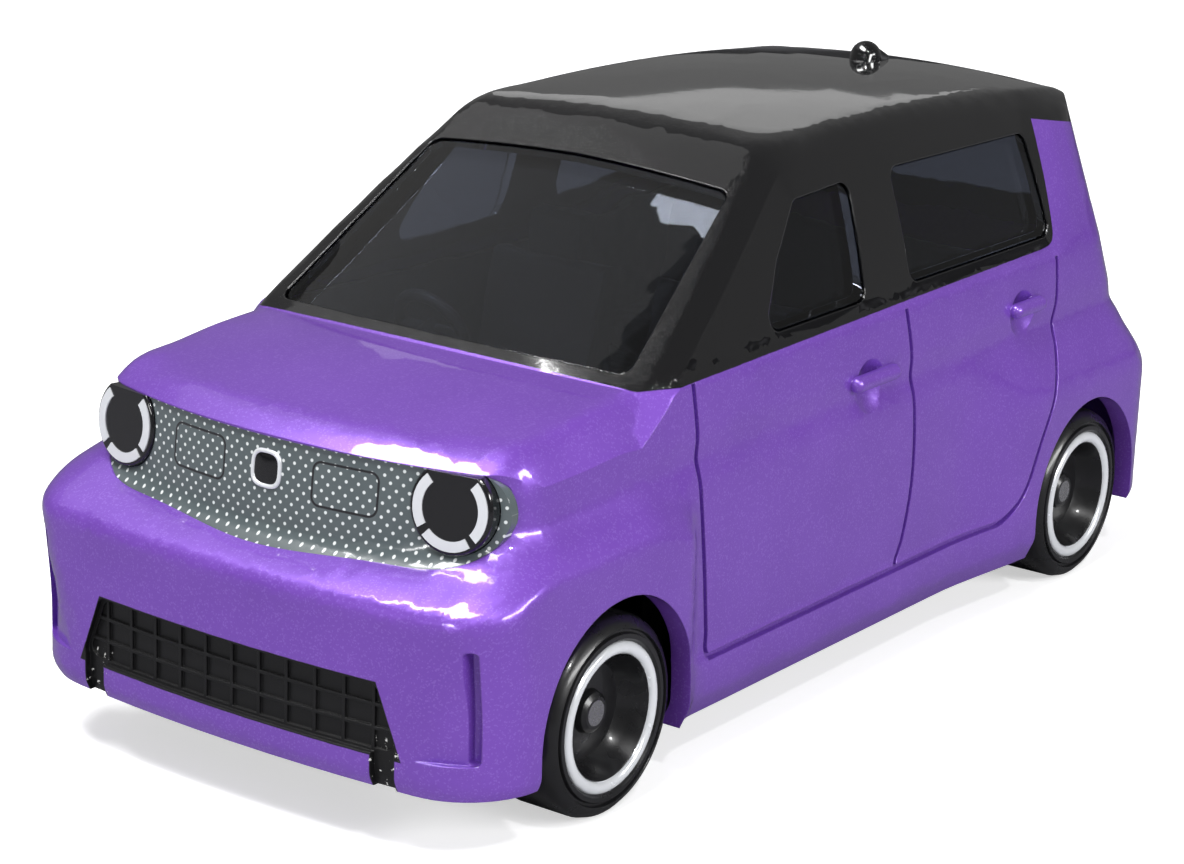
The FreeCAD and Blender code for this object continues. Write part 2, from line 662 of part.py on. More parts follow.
# Wheel: a one-piece black tyre and dish with a bore for the pin and a seat for the bright ring
def wheel(axle_y):
    face_x = WHEEL_FACE_X
    inner_x = face_x - TYRE_WIDTH
    r = TYRE_RADIUS
    seat_x = face_x - 0.2
    ring_floor_x = seat_x - 0.2
    dish_x = face_x - DISH_DEPTH
    points = [(inner_x, AXLE_RADIUS), (inner_x, r - 0.45), (inner_x + 0.13, r - 0.13), (inner_x + 0.45, r),
              (face_x - 0.75, r), (face_x - 0.38, r - 0.12), (face_x - 0.14, r - 0.38), (face_x - 0.05, r - 0.62),
              (face_x - 0.22, r - 0.68), (face_x - 0.22, r - 0.8), (face_x - 0.05, r - 0.86),
              (seat_x + 0.15, RING_OUTER_RADIUS + 0.12), (seat_x, RING_OUTER_RADIUS),
              (ring_floor_x, RING_OUTER_RADIUS), (ring_floor_x, RING_INNER_RADIUS),
              (seat_x, RING_INNER_RADIUS), (seat_x - 0.25, RING_INNER_RADIUS - 0.12),
              (dish_x + 0.2, RING_INNER_RADIUS - 0.45), (dish_x, RING_INNER_RADIUS - 0.7),
              (dish_x, HUB_RADIUS + 0.1), (dish_x + 0.35, HUB_RADIUS), (dish_x + 0.5, HUB_RADIUS - 0.2),
              (dish_x + 0.5, AXLE_RADIUS)]
    return revolve_x(wheel_profile_face(points), axle_y, TYRE_RADIUS)


def wheel_ring(axle_y):
    """The bright ring, with a rounded crown, let into the wheel's face."""
    floor = WHEEL_FACE_X - 0.4
    crown = floor + RING_THICKNESS
    middle = (RING_OUTER_RADIUS + RING_INNER_RADIUS) / 2
    outline = [Part.makeLine(V(floor, RING_INNER_RADIUS, 0), V(floor, RING_OUTER_RADIUS, 0)),
               Part.makeLine(V(floor, RING_OUTER_RADIUS, 0), V(floor + 0.2, RING_OUTER_RADIUS, 0)),
               Part.Arc(V(floor + 0.2, RING_OUTER_RADIUS, 0), V(crown, middle, 0),
                        V(floor + 0.2, RING_INNER_RADIUS, 0)).toShape(),
               Part.makeLine(V(floor + 0.2, RING_INNER_RADIUS, 0), V(floor, RING_INNER_RADIUS, 0))]
    return revolve_x(Part.Face(Part.Wire(outline)), axle_y, TYRE_RADIUS)


def axle(axle_y):
    half = WHEEL_FACE_X - DISH_DEPTH + 0.5
    return Part.makeCylinder(AXLE_RADIUS, 2 * half, V(-half, axle_y, TYRE_RADIUS), X_AXIS)


# Base: a plastic tray with wheel notches, axle bearings and raised panels underneath
def outline_face(z, inset):
    """The casting's outline at height z, moved inwards by inset, as a flat face."""
    def front(x, h):
        return front_y(x, h) + inset

    def side(y, h):
        return side_x(y, h) - inset

    def rear(x, h):
        return rear_y(x, h) - inset

    half = half_outline(z, front, side, rear, BUMPER_CORNER_RADIUS - 0.8, REAR_CORNER_RADIUS - 0.8,
                        [DOOR_FRONT_Y - 3.2, DOOR_FRONT_Y + 0.6, REAR_FLARE_START_Y - 1, REAR_FLARE_FULL_Y])
    loop = [V(-p.x, p.y, p.z) for p in reversed(half[1:])] + half
    curve = through(loop, chord_steps([loop]))
    return Part.Face(Part.Wire(curve.toShape()))


def base_plate():
    low = BASE_UNDERSIDE_Z
    top = low + BASE_THICKNESS
    outline = outline_face(CASTING_BOTTOM_Z, WALL + BASE_GAP)
    plate = outline.extrude(V(0, 0, BASE_THICKNESS)).translated(V(0, 0, low - CASTING_BOTTOM_Z))
    notch_x = WHEEL_FACE_X - TYRE_WIDTH - NOTCH_GAP
    cuts = []
    adds = []
    for axle_y in (AXLE_FRONT_Y, AXLE_REAR_Y):
        for sign in (1, -1):
            x0, x1 = sorted((sign * notch_x, sign * 16))
            reach = TYRE_RADIUS + NOTCH_GAP
            cuts.append(box((x0, axle_y - reach, low - 1), (x1, axle_y + reach, top + 5)))
            bx0, bx1 = sorted((sign * 4.0, sign * (notch_x - 0.4)))
            adds.append(box((bx0, axle_y - 1.6, top - 0.2), (bx1, axle_y + 1.6, TYRE_RADIUS + AXLE_RADIUS + 0.3)))
        slot = AXLE_RADIUS + AXLE_CLEARANCE
        cuts.append(Part.makeCylinder(slot, 24, V(-12, axle_y, TYRE_RADIUS), X_AXIS))
        cuts.append(box((-12, axle_y - slot, TYRE_RADIUS), (12, axle_y + slot, TYRE_RADIUS + 4)))
    for y in (RIVET_FRONT_Y, RIVET_REAR_Y):
        cuts.append(Part.makeCylinder(RIVET_SHANK_RADIUS + 0.02, 6, V(0, y, low - 1)))
        cuts.append(Part.makeCylinder(RIVET_HEAD_RADIUS + 0.15, RIVET_HEAD_THICKNESS + 0.1, V(0, y, low)))
    for y in spread(-13.5, 13.5, 6):
        cuts.append(box((-8.2, y + 0.4, low - 1), (8.2, y + 4.1, low + 0.35)))
    cuts.append(box((-16, -36, low - 1), (16, RIVET_FRONT_Y - 2.4, NOSE_BOTTOM_Z - 0.2)))
    cuts.append(box((-16, RIVET_REAR_Y + 2.4, low - 1), (16, 36, TAIL_BOTTOM_Z - 0.2)))
    for x0, x1 in ((-16, -2.4), (2.4, 16)):
        cuts.append(box((x0, -36, low - 1), (x1, RIVET_FRONT_Y, NOSE_BOTTOM_Z - 0.2)))
        cuts.append(box((x0, RIVET_REAR_Y + 0.4, low - 1), (x1, 36, TAIL_BOTTOM_Z - 0.2)))
    return fuse_all([plate] + adds).cut(fuse_all(cuts))


def rivet(y):
    low = BASE_UNDERSIDE_Z + 0.1
    top = BASE_UNDERSIDE_Z + BASE_THICKNESS
    head = Part.makeCylinder(RIVET_HEAD_RADIUS, RIVET_HEAD_THICKNESS, V(0, y, low))
    shank = Part.makeCylinder(RIVET_SHANK_RADIUS, top - low, V(0, y, low))
    return head.fuse(shank).removeSplitter()


# Seat moulding: floor, side trays, dashboard, steering wheel, two front seats and a bench
def interior():
    floor_z = 9.9
    pieces = [box((-TUB_HALF_WIDTH, -17.0, floor_z), (TUB_HALF_WIDTH, 24.5, floor_z + 1.0))]
    for sign in (1, -1):
        x0, x1 = sorted((sign * (TUB_HALF_WIDTH - 0.7), sign * TUB_HALF_WIDTH))
        pieces.append(box((x0, -14.5, floor_z), (x1, 24.5, GLASS_FOOT_Z - FIT_GAP)))
        for y in (-9.0, 9.0):
            foot = BASE_UNDERSIDE_Z + BASE_THICKNESS
            pieces.append(Part.makeCylinder(1.0, floor_z - foot + 0.5, V(sign * 7.0, y, foot)))
    dash = rounded_face([(-16.2, floor_z), (-13.6, floor_z), (-12.8, 15.9), (-14.6, 16.5), (-16.2, 15.8)], 0.5,
                        lambda y, z: V(-10.2, y, z)).extrude(V(20.4, 0, 0))
    pieces.append(dash)
    seat_side = [(0.0, 0.0), (5.6, 0.0), (7.3, 7.9), (5.7, 8.3), (4.3, 3.0), (0.0, 2.4)]
    for x in (-8.6, 1.6):
        seat = rounded_face([(y - 8.2, z + floor_z + 0.8) for y, z in seat_side], 0.55,
                            lambda y, z, x=x: V(x, y, z)).extrude(V(7.0, 0, 0))
        head = rounded_face([(-2.4, 17.8), (-1.1, 17.8), (-0.6, 21.0), (-2.0, 21.0)], 0.4,
                            lambda y, z, x=x: V(x + 1.9, y, z)).extrude(V(3.2, 0, 0))
        pieces += [seat, head]
    bench = rounded_face([(y + 9.0, z + floor_z + 0.8) for y, z in seat_side], 0.55,
                         lambda y, z: V(-9.4, y, z)).extrude(V(18.8, 0, 0))
    pieces.append(bench)
    column = Part.makeCylinder(0.45, 3.2, V(-5.1, -14.6, 15.6), V(0, 1, 0.45))
    rim_centre = V(-5.1, -11.9, 16.8)
    rim = Part.makeTorus(1.9, 0.32, rim_centre, V(0, 1, 0.45))
    spoke_half = 1.9
    spoke = Part.makeCylinder(0.28, 2 * spoke_half, rim_centre - X_AXIS * spoke_half, X_AXIS)
    pieces += [column, rim, spoke]
    return fuse_all(pieces)


def antenna():
    lean = math.radians(ANTENNA_LEAN_DEG)
    axis = V(0, math.sin(lean), math.cos(lean))
    foot = V(0, ANTENNA_Y, top_z(0, ANTENNA_Y))
    stub = Part.makeCylinder(ANTENNA_RADIUS, ANTENNA_HEIGHT - ANTENNA_RADIUS + 0.6, foot - axis * 0.6, axis)
    fairing = Part.makeCone(ANTENNA_RADIUS, 0.25, 1.9, foot + V(0, 0.3, 0.1), V(0, 1, -0.12))
    dome = Part.makeSphere(ANTENNA_RADIUS, foot + axis * (ANTENNA_HEIGHT - ANTENNA_RADIUS))
    return stub.fuse([dome, fairing])


def tail_lamp_prism():
    return rounded_face([(9.0, 12.2), (11.2, 12.2), (11.2, 16.9), (9.0, 16.9)], 0.7,
                        lambda x, z: V(x, 22, z)).extrude(V(0, 11, 0))


def door_handle(y, z, length):
    """A pull bar that bridges a shallow round cup in the door skin."""
    x = side_x(y, z) + 0.14
    half = length / 2 - HANDLE_RADIUS
    bar = Part.makeCylinder(HANDLE_RADIUS, 2 * half, V(x, y - half, z), Y_AXIS)
    ends = [Part.makeSphere(HANDLE_RADIUS, V(x, y + end, z), X_AXIS) for end in (-half, half)]
    return fuse_all([bar] + ends)


def handle_cup(y, z):
    return Part.makeSphere(2.0, V(side_x(y, z) + 1.52, y - 0.3, z - 0.25))


HANDLES = [(0.45, 15.75, 4.2), (15.9, 16.5, 3.3)]
HANDLE_RADIUS = 0.42


def corner_y(x, z):
    """The nose's front surface at x and height z, carried on round the left corner."""
    radius = corner_radius(z)
    edge = side_x(front_y(side_x(front_y(0, z), z), z) + radius, z) - radius
    y = front_y(x, z)
    low, high = 0.0, math.pi / 2
    for step in range(24 if x > edge else 0):
        angle = (low + high) / 2
        y = front_y(edge + radius * math.sin(angle), z) + radius * (1 - math.cos(angle))
        reach = side_x(y, z) - radius * (1 - math.sin(angle))
        low, high = (angle, high) if reach < x else (low, angle)
    return y


def slit_cutter():
    """A narrow upright slot beside the corner. The face in front of it sinks towards it and its foot."""
    xs = spread(SLIT_INNER_X - 0.6, SLIT_WALL_X, 9) + [SLIT_WALL_X, SLIT_OUTER_X, SLIT_OUTER_X + 0.3]
    zs = spread(SLIT_BOTTOM_Z - 0.6, SLIT_TOP_Z + 0.6, 12) + [SLIT_TOP_Z + 0.6]

    def floor(x, z):
        outward = ramp(x, SLIT_INNER_X, SLIT_WALL_X + 0.3) * ramp(z, SLIT_TOP_Z, SLIT_TOP_Z - 3.5)
        downward = ramp(z, SLIT_BOTTOM_Z + 2.4, SLIT_BOTTOM_Z) * ramp(x, SLIT_INNER_X - 0.6, SLIT_INNER_X + 1.4)
        return corner_y(x, z) - 0.1 + SLIT_SINK * (1 - (1 - outward) * (1 - downward))

    def deep(x, z):
        return corner_y(x, z) + SLIT_DEPTH

    cutters = []
    for height, inner, radius in ((floor, SLIT_INNER_X - 0.5, 0.3), (deep, SLIT_WALL_X, 0.22)):
        surface = spline_surface([[V(x, height(x, z), z) for x in xs] for z in zs])
        outline = rounded_face([(inner, SLIT_BOTTOM_Z), (SLIT_OUTER_X, SLIT_BOTTOM_Z), (SLIT_OUTER_X, SLIT_TOP_Z),
                                (inner, SLIT_TOP_Z)], radius, lambda x, z: V(x, -36, z))
        cutters.append(outline.extrude(V(0, 9, 0)).common(surface.toShape().extrude(V(0, -5, 0))))
    return cutters


def window_unit():
    """A clear moulding: a thin dome inside the cabin, with a raised pane for every opening."""
    inner = body(WALL + FIT_GAP)
    core = body(WALL + FIT_GAP + GLASS_WALL)
    near_flush = body(GLASS_SETBACK)
    panes = [p.common(near_flush) for p in window_prisms(GLASS_EDGE_GAP)]
    above_foot = box((-20, -19, GLASS_FOOT_Z), (20, 40, 40))
    return fuse_all([inner] + panes).cut(core).common(above_foot)


def arch_cutters():
    """Wheel openings, and the same from the other side."""
    cutters = []
    for y, z, radius in ((AXLE_FRONT_Y, TYRE_RADIUS, ARCH_FRONT_RADIUS), (AXLE_REAR_Y, TYRE_RADIUS, ARCH_REAR_RADIUS)):
        opening = Part.makeCylinder(radius, 8, V(9.0, y, z), X_AXIS)
        below = box((9.0, y - radius, 0), (17.0, y + radius, z))
        cutters += [opening, below, mirrored(opening), mirrored(below)]
    return cutters


def posts():
    """Two riveting posts that stand on the base, the rear one webbed to the tail."""
    foot = BASE_UNDERSIDE_Z + BASE_THICKNESS
    bonnet = bonnet_z(0, RIVET_FRONT_Y) - WALL / 2
    tail = rear_y(0, 6) - WALL / 2
    front = Part.makeCylinder(POST_RADIUS, bonnet - foot, V(0, RIVET_FRONT_Y, foot))
    rear = Part.makeCylinder(POST_RADIUS, 5.6, V(0, RIVET_REAR_Y, foot))
    web = box((-0.6, RIVET_REAR_Y, foot + 0.8), (0.6, tail, foot + 5.0))
    return [front, rear, web]


def body_casting():
    """The painted casting. Cutters that lie apart go in one step, and the rest one by one."""
    pocket = lamp_pocket()
    slits = slit_cutter()
    lamp = tail_lamp_prism().common(beyond_rear(TAIL_LAMP_DEPTH))
    cups = [handle_cup(y, z) for y, z, length in HANDLES]
    bars = [door_handle(*handle) for handle in HANDLES]
    steps = [arch_cutters(), window_prisms(0.0)]
    steps += [[cutter] for cutter in seams() + grille_cutters()]
    steps.append([panel_prism().common(beyond_front(PANEL_RECESS, 11.4, 17.4))])
    steps += [[slit, mirrored(slit)] for slit in slits]
    steps += [[pocket, mirrored(pocket)], [lamp, mirrored(lamp)]]
    steps.append(cups + [mirrored(cup) for cup in cups])
    shell = body(0.0).cut(body(WALL, BASE_UNDERSIDE_Z))
    steps.append([box((-16, -36, 0), (16, AXLE_FRONT_Y - ARCH_FRONT_RADIUS + 0.3, NOSE_BOTTOM_Z)),
                  box((-16, AXLE_REAR_Y + ARCH_REAR_RADIUS - 0.3, 0), (16, 36, TAIL_BOTTOM_Z))])
    for cutters in steps:
        shell = shell.cut(cutters)
    return shell.fuse(posts()).fuse(bars + [mirrored(bar) for bar in bars] + [antenna()])


def front_panel():
    """The dotted panel between bonnet and bumper, cut out round the lamps."""
    slab = panel_prism().common(beyond_front(PANEL_RECESS - FIT_GAP / 2, 11.4, 17.4))
    slab = slab.cut(beyond_front(PANEL_SETBACK, 11.3, 17.5))
    pocket = lamp_pocket()
    return slab.cut([pocket, mirrored(pocket)])


def tail_lamp():
    return tail_lamp_prism().common(beyond_rear(TAIL_LAMP_DEPTH - FIT_GAP / 2)).cut(beyond_rear(-TAIL_LAMP_PROUD))


def save(name, shape):
    if len(shape.Solids) == 1:
        shape = shape.Solids[0]
    shape.exportStep(os.path.join("parts", name + ".step"))


def save_pair(name, shape):
    save(name + "_left", shape)
    save(name + "_right", mirrored(shape))


def main():
    os.makedirs("parts", exist_ok=True)
    save("body_casting", body_casting())
    save("window_unit", window_unit())
    save("interior", interior())
    save("base_plate", base_plate())
    save("front_panel", front_panel())
    save("rivet_front", rivet(RIVET_FRONT_Y))
    save("rivet_rear", rivet(RIVET_REAR_Y))
    save_pair("headlamp", headlamp())
    save_pair("headlamp_arcs", lamp_arcs())
    save_pair("tail_lamp", tail_lamp())
    for end, y in (("front", AXLE_FRONT_Y), ("rear", AXLE_REAR_Y)):
        save("axle_" + end, axle(y))
        save_pair("wheel_" + end, wheel(y))
        save_pair("wheel_ring_" + end, wheel_ring(y))


if __name__ == "__main__":
    main()
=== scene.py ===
import json
import math

import bmesh
import bpy
import mathutils
import numpy as np
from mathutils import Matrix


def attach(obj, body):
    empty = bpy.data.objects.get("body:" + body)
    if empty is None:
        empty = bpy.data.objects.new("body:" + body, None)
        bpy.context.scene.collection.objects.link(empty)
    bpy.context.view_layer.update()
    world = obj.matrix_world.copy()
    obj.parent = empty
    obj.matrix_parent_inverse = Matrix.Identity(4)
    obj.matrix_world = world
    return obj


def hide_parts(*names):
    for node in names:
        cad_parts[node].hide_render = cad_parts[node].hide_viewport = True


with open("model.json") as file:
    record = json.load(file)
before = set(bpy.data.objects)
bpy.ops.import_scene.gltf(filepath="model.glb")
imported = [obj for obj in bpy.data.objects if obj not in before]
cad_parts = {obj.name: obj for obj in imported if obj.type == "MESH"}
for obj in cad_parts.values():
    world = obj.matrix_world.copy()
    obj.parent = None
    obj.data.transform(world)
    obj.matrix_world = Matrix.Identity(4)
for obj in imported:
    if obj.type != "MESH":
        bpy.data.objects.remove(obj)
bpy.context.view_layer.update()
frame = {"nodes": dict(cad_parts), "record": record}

# Body casting: one piece of die-cast zinc, with the antenna stub and the door handles in it. It is
# sprayed metallic purple under a thick clear coat. Gloss black is then sprayed through masks over
# the roof, the pillars and the grille. Pale grey specks on the grille's two feet are partly paint
# chips showing the metal and partly painted glints on those raised spots.
# Sizes are in millimetres in the frame's axes, with the nose towards -Y.
MM = 0.001
BELT_Z = 18.86
BELT_RISE = 0.0148
COWL_Z = 19.0
COWL_DROP = 0.0032
CABIN_BLACK_END_Y = 19.6
CABIN_BLACK_CORNER = 1.6
ROOF_BLACK_Z = 29.1
ROOF_BLACK_FALL = 0.17
GRILLE_TOP_Z = 8.08
GRILLE_BOTTOM_Z = 4.65
GRILLE_END_X = 11.45
GRILLE_END_LEAN = 0.4
GRILLE_BACK_Y = -30.2
FOOT_X = 8.6
FOOT_HALF_WIDTH = 0.66
FOOT_TOP_Z = 5.0
MASK_WAVER = 0.04
MASK_SOFTNESS = 0.025
GRILLE_SOFTNESS = 0.05
FLAKES_PER_MM = 14.0
DULL_FLAKE_SHARE = 0.86
FLAKE_GLEAM = 0.16
FLAKE_DEPTH = 0.012
ORANGE_PEEL_DEPTH = 0.005
CASTING_EDGE_RADIUS = 0.09
SPECK_LEVEL = 0.63
SPECK_HALF_WIDTH = 0.85
SPECK_TOP_Z = 5.4
SPECK_BACK_Y = -30.8
SPECK_FADE = 0.1
CLOUDS_PER_MM = 0.25
SPECKLES_PER_MM = 2.6
ORANGE_PEEL_PER_MM = 0.9
FINE_PEEL_PER_MM = 4.0
FINE_PEEL_SHARE = 0.25
DEEP_PURPLE = (0.150, 0.050, 0.40)
LIGHT_PURPLE = (0.185, 0.066, 0.47)
FLAKE_LILAC = (0.42, 0.26, 0.80)
BLACK_PAINT = (0.0025, 0.0025, 0.003)
CHIP_AND_GLINT_GREY = (0.62, 0.62, 0.60)
PURPLE_METALLIC = 0.35
BLACK_ROUGHNESS = 0.06
PURPLE_ROUGHNESS = 0.36
GRILLE_ROUGHNESS = 0.46
GRILLE_COAT = 0.15


def new_material(name):
    """A material, its node tree and its shader node."""
    material = bpy.data.materials.new(name)
    material.use_nodes = True
    tree = material.node_tree
    return material, tree, tree.nodes["Principled BSDF"]


def math_node(tree, operation, a, b=None, c=None):
    """One Math node. Each of a, b and c is a number or another node's output."""
    node = tree.nodes.new("ShaderNodeMath")
    node.operation = operation
    for i, value in enumerate((a, b, c)):
        if value is None:
            continue
        if isinstance(value, (int, float)):
            node.inputs[i].default_value = value
        else:
            tree.links.new(value, node.inputs[i])
    return node.outputs[0]


def coords(tree):
    """Object coordinates in millimetres, and their three parts."""
    source = tree.nodes.new("ShaderNodeTexCoord")
    scale = tree.nodes.new("ShaderNodeVectorMath")
    scale.operation = "SCALE"
    scale.inputs["Scale"].default_value = 1 / MM
    tree.links.new(source.outputs["Object"], scale.inputs[0])
    parts = tree.nodes.new("ShaderNodeSeparateXYZ")
    tree.links.new(scale.outputs[0], parts.inputs[0])
    return scale.outputs[0], parts.outputs[0], parts.outputs[1], parts.outputs[2]


def noise(tree, vector, scale, detail=2.0, roughness=0.5):
    """Smooth noise around 0.5, with scale lumps to a millimetre."""
    node = tree.nodes.new("ShaderNodeTexNoise")
    node.inputs["Scale"].default_value = scale
    node.inputs["Detail"].default_value = detail
    node.inputs["Roughness"].default_value = roughness
    tree.links.new(vector, node.inputs["Vector"])
    return node.outputs["Fac"]


def step_mask(tree, value, softness):
    """0 where the value is below -softness, 1 where it is above softness, and a smooth step between."""
    node = tree.nodes.new("ShaderNodeMapRange")
    node.interpolation_type = "SMOOTHSTEP"
    node.inputs["From Min"].default_value = -softness
    node.inputs["From Max"].default_value = softness
    tree.links.new(value, node.inputs["Value"])
    return node.outputs[0]


def mix_color(tree, factor, a, b):
    """Colour a where the factor is 0 and colour b where it is 1."""
    node = tree.nodes.new("ShaderNodeMix")
    node.data_type = "RGBA"
    tree.links.new(factor, node.inputs["Factor"])
    color_a, color_b, mixed = node.inputs[6], node.inputs[7], node.outputs[2]
    for socket, value in ((color_a, a), (color_b, b)):
        if isinstance(value, tuple):
            socket.default_value = (*value, 1.0)
        else:
            tree.links.new(value, socket)
    return mixed


def bump(tree, height, strength, depth_mm, normal=None):
    """The surface's normal, or the given one, leaned as by a relief of that depth."""
    node = tree.nodes.new("ShaderNodeBump")
    node.inputs["Strength"].default_value = strength
    node.inputs["Distance"].default_value = depth_mm * MM
    tree.links.new(height, node.inputs["Height"])
    if normal is not None:
        tree.links.new(normal, node.inputs["Normal"])
    return node.outputs[0]


def rounded_edges(tree, radius_mm):
    """A normal that turns smoothly over every edge, as if the edge had that radius."""
    node = tree.nodes.new("ShaderNodeBevel")
    node.samples = 4
    node.inputs["Radius"].default_value = radius_mm * MM
    return node.outputs[0]


body_paint, tree, shader = new_material("body_paint")
vector, x, y, z = coords(tree)
side_x = math_node(tree, "ABSOLUTE", x)

# Black of the cabin: above the belt line and the cowl, as far back as the tail, and the whole roof
belt = math_node(tree, "MULTIPLY_ADD", y, BELT_RISE, BELT_Z)
cowl = math_node(tree, "MULTIPLY_ADD", math_node(tree, "MULTIPLY", x, x), -COWL_DROP, COWL_Z)
above_belt = math_node(tree, "SUBTRACT", z, math_node(tree, "MAXIMUM", belt, cowl))
before_tail = math_node(tree, "SUBTRACT", CABIN_BLACK_END_Y, y)
roof_edge = math_node(tree, "MULTIPLY_ADD", y, -ROOF_BLACK_FALL, ROOF_BLACK_Z)
cabin = math_node(tree, "SMOOTH_MIN", above_belt, before_tail, CABIN_BLACK_CORNER)
cabin = math_node(tree, "MAXIMUM", cabin, math_node(tree, "SUBTRACT", z, roof_edge))

# Black of the grille: between its leaning ends, with a foot below each end
grille_end = math_node(tree, "MULTIPLY_ADD", z, -GRILLE_END_LEAN, GRILLE_END_X)
between_ends = math_node(tree, "SUBTRACT", grille_end, side_x)
below_top = math_node(tree, "SUBTRACT", GRILLE_TOP_Z, z)
above_bottom = math_node(tree, "SUBTRACT", z, GRILLE_BOTTOM_Z)
grille = math_node(tree, "MINIMUM", math_node(tree, "MINIMUM", below_top, above_bottom), between_ends)
from_foot = math_node(tree, "ABSOLUTE", math_node(tree, "SUBTRACT", side_x, FOOT_X))
beside_foot = math_node(tree, "SUBTRACT", FOOT_HALF_WIDTH, from_foot)
foot = math_node(tree, "MINIMUM", beside_foot, math_node(tree, "SUBTRACT", FOOT_TOP_Z, z))
grille = math_node(tree, "MAXIMUM", grille, foot)
grille = math_node(tree, "MINIMUM", grille, math_node(tree, "SUBTRACT", GRILLE_BACK_Y, y))

ragged = noise(tree, vector, scale=1.1, detail=3.0)
waver = math_node(tree, "MULTIPLY_ADD", ragged, MASK_WAVER, -MASK_WAVER / 2)
black_area = math_node(tree, "ADD", math_node(tree, "MAXIMUM", cabin, grille), waver)
in_grille = step_mask(tree, grille, GRILLE_SOFTNESS)
black = step_mask(tree, black_area, MASK_SOFTNESS)
not_black = math_node(tree, "SUBTRACT", 1.0, black)

# Colour: clouded purple with a few bright flakes, black through the masks, and pale grey specks on the feet,
# partly chips and partly painted glints
flakes = tree.nodes.new("ShaderNodeTexVoronoi")
flakes.inputs["Scale"].default_value = FLAKES_PER_MM
tree.links.new(vector, flakes.inputs["Vector"])
flake_parts = tree.nodes.new("ShaderNodeSeparateColor")
tree.links.new(flakes.outputs["Color"], flake_parts.inputs[0])
flake = flake_parts.outputs[0]
lit_flake = step_mask(tree, math_node(tree, "SUBTRACT", flake, DULL_FLAKE_SHARE), softness=0.04)
color = mix_color(tree, noise(tree, vector, CLOUDS_PER_MM), DEEP_PURPLE, LIGHT_PURPLE)
color = mix_color(tree, math_node(tree, "MULTIPLY", lit_flake, FLAKE_GLEAM), color, FLAKE_LILAC)
color = mix_color(tree, black, color, BLACK_PAINT)
# Painted glints and paint chips together: pale grey specks mixed into the colour on the grille's raised feet
speckle = noise(tree, vector, SPECKLES_PER_MM, detail=4.0, roughness=0.7)
chips_and_glints = step_mask(tree, math_node(tree, "SUBTRACT", speckle, SPECK_LEVEL), softness=0.01)
near_feet = step_mask(tree, math_node(tree, "SUBTRACT", SPECK_HALF_WIDTH, from_foot), SPECK_FADE)
low = step_mask(tree, math_node(tree, "SUBTRACT", SPECK_TOP_Z, z), SPECK_FADE)
ahead = step_mask(tree, math_node(tree, "SUBTRACT", SPECK_BACK_Y, y), SPECK_FADE)
chip_and_glint_area = math_node(tree, "MULTIPLY", near_feet, math_node(tree, "MULTIPLY", low, ahead))
color = mix_color(tree, math_node(tree, "MULTIPLY", chips_and_glints, chip_and_glint_area), color, CHIP_AND_GLINT_GREY)
tree.links.new(color, shader.inputs["Base Color"])

# Gloss: the grille is duller than the roof. The clear coat has orange peel, and the flakes lie below it
metallic = math_node(tree, "MULTIPLY", not_black, PURPLE_METALLIC)
tree.links.new(metallic, shader.inputs["Metallic"])
rough = math_node(tree, "MULTIPLY_ADD", not_black, PURPLE_ROUGHNESS - BLACK_ROUGHNESS, BLACK_ROUGHNESS)
rough = math_node(tree, "MULTIPLY_ADD", in_grille, GRILLE_ROUGHNESS - BLACK_ROUGHNESS, rough)
tree.links.new(rough, shader.inputs["Roughness"])
coat = math_node(tree, "MULTIPLY_ADD", in_grille, GRILLE_COAT - 1.0, 1.0)
tree.links.new(coat, shader.inputs["Coat Weight"])
shader.inputs["Coat Roughness"].default_value = 0.03
edges = rounded_edges(tree, CASTING_EDGE_RADIUS)
fine_peel = math_node(tree, "MULTIPLY", noise(tree, vector, FINE_PEEL_PER_MM), FINE_PEEL_SHARE)
peel = math_node(tree, "ADD", noise(tree, vector, ORANGE_PEEL_PER_MM), fine_peel)
peel_normal = bump(tree, peel, strength=0.5, depth_mm=ORANGE_PEEL_DEPTH, normal=edges)
flake_normal = bump(tree, flake, strength=0.25, depth_mm=FLAKE_DEPTH, normal=edges)
tree.links.new(peel_normal, shader.inputs["Coat Normal"])
tree.links.new(flake_normal, shader.inputs["Normal"])

BODY_OF = {
    node: body for body, nodes in frame["record"]["behaviour"]["bodies"].items() for node in nodes}
WELD_GAP = 0.0002 * MM
SLIVER_LENGTH = 0.0001 * MM
CREASE_ANGLE = math.radians(30)
EVENING_ROUNDS = 3
NOT_ZERO = 1e-12


def even_normals(mesh):
    """One normal for each vertex of a mesh of triangles, with no dent beside a thin triangle.

    A vertex takes the mean of its faces' normals, each weighed by the face's area. A face then takes
    the mean of its corners' normals, at its own area, and both are repeated.
    """
    points = np.empty(len(mesh.vertices) * 3)
    mesh.vertices.foreach_get("co", points)
    points = points.reshape(-1, 3) / MM
    corners = np.empty(len(mesh.loops), dtype=np.int64)
    mesh.loops.foreach_get("vertex_index", corners)
    corners = corners.reshape(-1, 3)
    a, b, c = (points[corners[:, k]] for k in range(3))
    weighted = np.cross(b - a, c - a)
    area = np.linalg.norm(weighted, axis=1, keepdims=True) + NOT_ZERO
    for repeat in range(EVENING_ROUNDS):
        normals = np.zeros_like(points)
        for k in range(3):
            np.add.at(normals, corners[:, k], weighted)
        normals /= np.linalg.norm(normals, axis=1, keepdims=True) + NOT_ZERO
        mean = normals[corners].sum(axis=1)
        weighted = area * mean / (np.linalg.norm(mean, axis=1, keepdims=True) + NOT_ZERO)
    return normals


